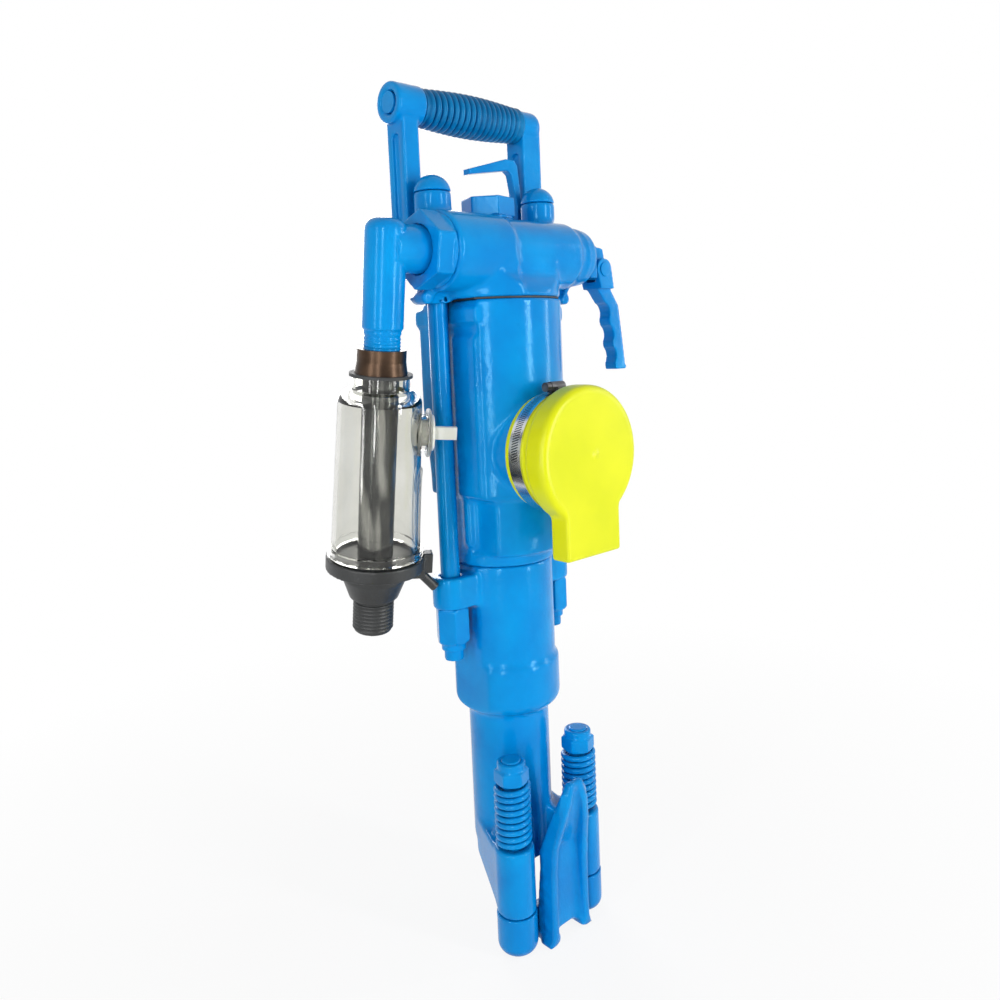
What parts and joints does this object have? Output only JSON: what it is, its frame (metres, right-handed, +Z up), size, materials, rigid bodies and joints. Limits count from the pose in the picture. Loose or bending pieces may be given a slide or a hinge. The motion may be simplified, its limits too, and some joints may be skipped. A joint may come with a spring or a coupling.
{
  "type": "pneumatic rock drill",
  "caption": "Hand-held compressed-air rock drill with barrel grip, throttle lever, side line lubricator, capped exhaust, side tie bolts and a sprung steel retainer at the nose.",
  "frame": {"origin": "centre of the mouth that takes the drill steel, at the nose's end face", "axes": "+Z up the drill's axis to the hand grip, +X along the grip to the throttle lever, -Y to the exhaust and the retainer"},
  "size_m": [0.2628, 0.1515, 0.6233],
  "materials": {
    "blue_paint": "gloss enamel over a cast surface",
    "blue_rubber": "satin, painted over",
    "yellow_rubber": "satin",
    "black_rubber": "matt",
    "stainless": "bright",
    "clear_plastic": "clear",
    "white_plastic": "satin",
    "black_plastic": "satin",
    "brown_steel": "dark, oily",
    "machined_steel": "ground",
    "bronze": "machined"
  },
  "bodies": {
    "frame": {"back_head": "blue_paint", "left_handle_arm": "blue_paint", "right_handle_arm": "blue_paint", "grip_rod": "blue_paint", "grip_sleeve": "blue_rubber", "trigger_pin": "blue_paint", "rear_plug": "blue_paint", "plug_washer": "stainless", "blow_tube": "machined_steel", "tie_bolts": "blue_paint", "tie_bolt_nuts": "blue_paint", "gland_nut": "blue_paint", "inlet_seal": "black_rubber", "cylinder": "blue_paint", "cylinder_gasket": "black_rubber", "muffler": "yellow_rubber", "hose_clamp": "stainless", "clamp_screw": "stainless", "valve_chest": "machined_steel", "valve_cover": "machined_steel", "ratchet_ring": "machined_steel", "piston_guide": "bronze", "chuck_spacer": "machined_steel", "front_head": "blue_paint", "nose_bush": "machined_steel"},
    "lubricator": {"inlet_elbow": "blue_paint", "inlet_strainer": "stainless", "lubricator_collar": "brown_steel", "lubricator_gasket": "black_rubber", "oil_cup": "clear_plastic", "oil_tube": "stainless", "base_seal": "black_rubber", "lubricator_base": "black_plastic", "filler_gasket": "black_rubber"},
    "filler": {"filler_plug": "white_plastic"},
    "oil_adjuster": {"oil_screw": "black_plastic"},
    "throttle": {"throttle_valve": "blue_paint", "lever_pin": "blue_paint"},
    "lever": {"throttle_lever": "blue_paint"},
    "trigger_body": {"trigger": "blue_paint"},
    "steel_chuck": {"chuck": "machined_steel", "chuck_bush": "machined_steel"},
    "hammer": {"piston": "machined_steel", "rifle_nut": "bronze"},
    "rifle": {"rifle_bar": "machined_steel", "pawls": "machined_steel"},
    "air_valve": {"valve_ring": "machined_steel"},
    "retainer_carriage": {"retainer_bolts": "blue_paint", "retainer_nuts": "blue_paint", "retainer_springs": "blue_paint", "retainer_pin": "blue_paint"},
    "retainer_latch": {"retainer": "blue_paint"}
  },
  "joints": [
    {"name": "throttle_turn", "type": "hinge", "parent": "frame", "child": "throttle", "pos_m": [0.06, -0.018, 0.4535], "axis": [1, 0, 0], "range_deg": [0, 80]},
    {"name": "lever_fold", "type": "hinge", "parent": "throttle", "child": "lever", "pos_m": [0.0955, -0.018, 0.445], "axis": [0, -1, 0], "range_deg": [0, 30]},
    {"name": "trigger_lift", "type": "hinge", "parent": "frame", "child": "trigger_body", "pos_m": [0.0452, 0.0166, 0.474], "axis": [0, 1, 0], "range_deg": [0, 7], "stiffness_Nm_per_rad": 0.6, "springref_deg": -8.59},
    {"name": "retainer_slide", "type": "slide", "parent": "frame", "child": "retainer_carriage", "axis": [0, 0, 1], "range_m": [-0.008, 0], "stiffness_N_per_m": 4000, "springref_m": 0.006, "deforming": ["retainer_springs"]},
    {"name": "retainer_swing", "type": "hinge", "parent": "retainer_carriage", "child": "retainer_latch", "pos_m": [0, -0.0388, -0.034], "axis": [1, 0, 0], "range_deg": [-7, 60]},
    {"name": "inlet_swivel", "type": "hinge", "parent": "frame", "child": "lubricator", "pos_m": [-0.105, -0.018, 0.4535], "axis": [1, 0, 0], "range_deg": [-95, 95]},
    {"name": "filler_turn", "type": "hinge", "parent": "lubricator", "child": "filler", "pos_m": [-0.07586, -0.01695, 0.33223], "axis": [0.8572, -0.509, -0.0788], "continuous": true},
    {"name": "oil_screw_turn", "type": "hinge", "parent": "lubricator", "child": "oil_adjuster", "pos_m": [-0.07671, -0.00091, 0.23201], "axis": [0.6061, -0.2517, -0.7545], "continuous": true},
    {"name": "chuck_spin", "type": "hinge", "parent": "frame", "child": "steel_chuck", "pos_m": [0, 0, 0.1], "axis": [0, 0, 1], "continuous": true},
    {"name": "piston_slide", "type": "slide", "parent": "steel_chuck", "child": "hammer", "axis": [0, 0, 1], "range_m": [0, 0.055]},
    {"name": "rifle_turn", "type": "hinge", "parent": "steel_chuck", "child": "rifle", "pos_m": [0, 0, 0.4], "axis": [0, 0, 1], "range_deg": [-24, 0]},
    {"name": "valve_slide", "type": "slide", "parent": "frame", "child": "air_valve", "axis": [0, 0, 1], "range_m": [0, 0.002]}
  ],
  "couplings": [
    {"joint": "rifle_turn", "follows": "piston_slide", "rad_per_m": -7.306}
  ]
}
